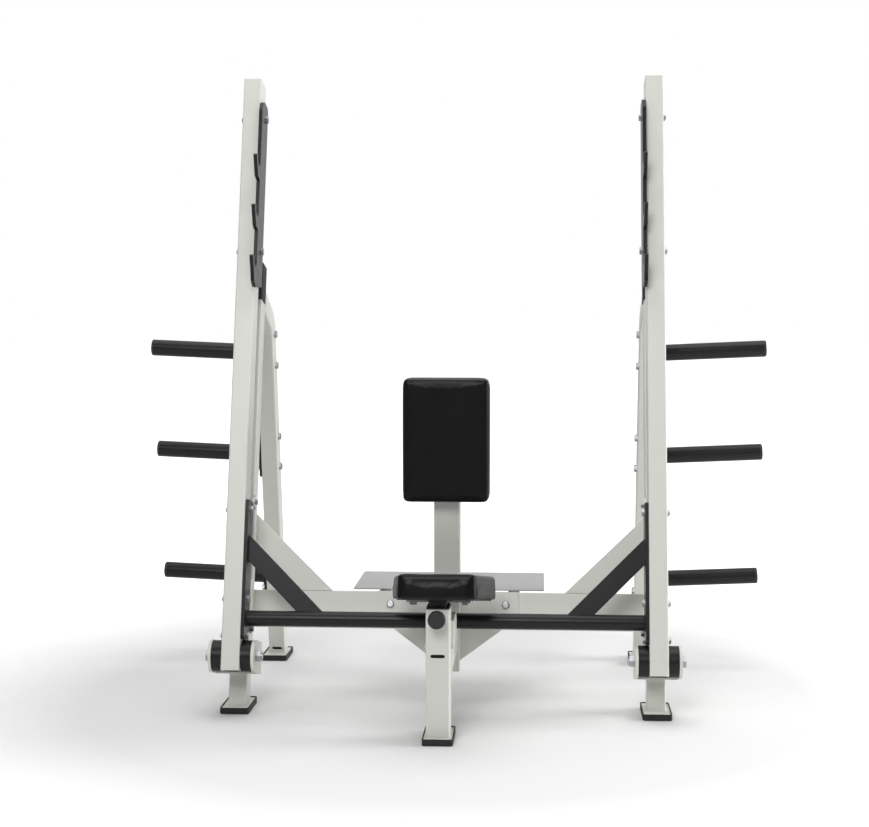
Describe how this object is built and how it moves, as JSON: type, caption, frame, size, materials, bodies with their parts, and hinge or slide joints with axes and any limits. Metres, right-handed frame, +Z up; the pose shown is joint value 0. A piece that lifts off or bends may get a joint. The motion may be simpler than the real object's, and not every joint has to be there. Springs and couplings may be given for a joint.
{
  "type": "olympic press bench",
  "caption": "Seated barbell press bench: a leaning bar rack that rocks on floor hinges, a foot bar, a height-adjustable seat, a back pad, a spotter platform and plate horns",
  "frame": {"origin": "on the floor, in the middle plane, under the middle of the whole bench's box; the rack hinges' line is 252.6 mm in front of it and 160 mm up", "axes": "+Z up, -Y the way the seated user faces, +X the user's left"},
  "size_m": [1.8212, 1.1448, 1.7389],
  "materials": {
    "white_paint": "semi-gloss powder coat",
    "black_paint": "semi-gloss powder coat",
    "platform_paint": "fine textured powder coat",
    "zinc": "bright zinc plate",
    "chrome": "polished",
    "grey_paint": "gloss",
    "rubber": "matt",
    "black_plastic": "moulded",
    "white_plastic": "moulded",
    "bronze": "sintered",
    "upholstery": "grained synthetic leather",
    "board": "plywood painted black"
  },
  "bodies": {
    "frame": {"front_post_left": "white_paint", "front_post_right": "white_paint", "rear_leg_left": "white_paint", "rear_leg_right": "white_paint", "cross_beam": "white_paint", "beam_braces": "white_paint", "centre_plate": "white_paint", "back_column": "white_paint", "seat_leg": "white_paint", "seat_beam": "white_paint", "bar_stop": "white_paint", "platform_arms": "white_paint", "foot_plates": "white_paint", "platform": "platform_paint", "spring_clevises": "white_paint", "hinge_yokes": "white_paint", "foot_pads": "rubber", "post_caps": "rubber", "pivot_bolts": "zinc", "centre_plate_bolts": "zinc", "back_board": "board", "back_pad": "upholstery", "back_bolts": "zinc", "horn_caps": "black_plastic", "horn_bolts": "zinc", "spring_upper_pins": "zinc", "leg_bushing": "black_plastic", "bar_stop_pad": "rubber", "pin_barrel": "zinc", "weight_horn_top_left": "black_paint", "weight_horn_top_right": "black_paint", "weight_horn_middle_left": "black_paint", "weight_horn_middle_right": "black_paint", "weight_horn_bottom_left": "black_paint", "weight_horn_bottom_right": "black_paint"},
    "rack": {"rack_upright_left": "white_paint", "rack_upright_right": "white_paint", "upright_caps": "white_plastic", "pivot_drums": "black_paint", "pivot_bushes": "bronze", "bar_catch_left": "black_paint", "bar_catch_right": "black_paint", "catch_bolts": "zinc", "side_plates": "black_paint", "side_plate_bolts": "zinc", "foot_bar": "black_paint", "foot_bar_braces": "black_paint", "spring_lugs": "white_paint", "spring_lower_pins": "zinc"},
    "gas_cylinder_left_body": {"gas_cylinder_left": "grey_paint"},
    "gas_cylinder_right_body": {"gas_cylinder_right": "grey_paint"},
    "gas_rod_left_body": {"gas_rod_left": "chrome"},
    "gas_rod_right_body": {"gas_rod_right": "chrome"},
    "seat": {"seat_post": "black_paint", "seat_bracket": "black_paint", "seat_crossbar": "zinc", "seat_bolts": "zinc", "seat_board": "board", "seat_pad": "upholstery"},
    "height_pin": {"pop_pin": "black_plastic"}
  },
  "joints": [
    {"name": "rack_tilt", "type": "hinge", "parent": "frame", "child": "rack", "pos_m": [0, -0.2526, 0.16], "axis": [1, 0, 0], "range_deg": [-2.5, 15]},
    {"name": "gas_cylinder_left_swing", "type": "hinge", "parent": "frame", "child": "gas_cylinder_left_body", "pos_m": [0.5455, -0.07183, 0.55259], "axis": [1, 0, 0], "range_deg": [-3.9, 0.7]},
    {"name": "gas_rod_left_slide", "type": "slide", "parent": "gas_cylinder_left_body", "child": "gas_rod_left_body", "axis": [0, 0.2726, 0.9621], "range_m": [-0.0026, 0.0152]},
    {"name": "gas_cylinder_right_swing", "type": "hinge", "parent": "frame", "child": "gas_cylinder_right_body", "pos_m": [-0.5455, -0.07183, 0.55259], "axis": [1, 0, 0], "range_deg": [-3.9, 0.7]},
    {"name": "gas_rod_right_slide", "type": "slide", "parent": "gas_cylinder_right_body", "child": "gas_rod_right_body", "axis": [0, 0.2726, 0.9621], "range_m": [-0.0026, 0.0152]},
    {"name": "seat_height", "type": "slide", "parent": "frame", "child": "seat", "axis": [0, 0, 1], "range_m": [0, 0.12]},
    {"name": "pop_pin_pull", "type": "slide", "parent": "frame", "child": "height_pin", "axis": [0, -1, 0], "range_m": [0, 0.012], "stiffness_N_per_m": 600, "springref_m": -0.005}
  ],
  "couplings": [
    {"joint": "gas_cylinder_left_swing", "follows": "rack_tilt", "ratio": -0.2485},
    {"joint": "gas_rod_left_slide", "follows": "rack_tilt", "m_per_rad": 0.0555},
    {"joint": "gas_cylinder_right_swing", "follows": "rack_tilt", "ratio": -0.2485},
    {"joint": "gas_rod_right_slide", "follows": "rack_tilt", "m_per_rad": 0.0555}
  ]
}
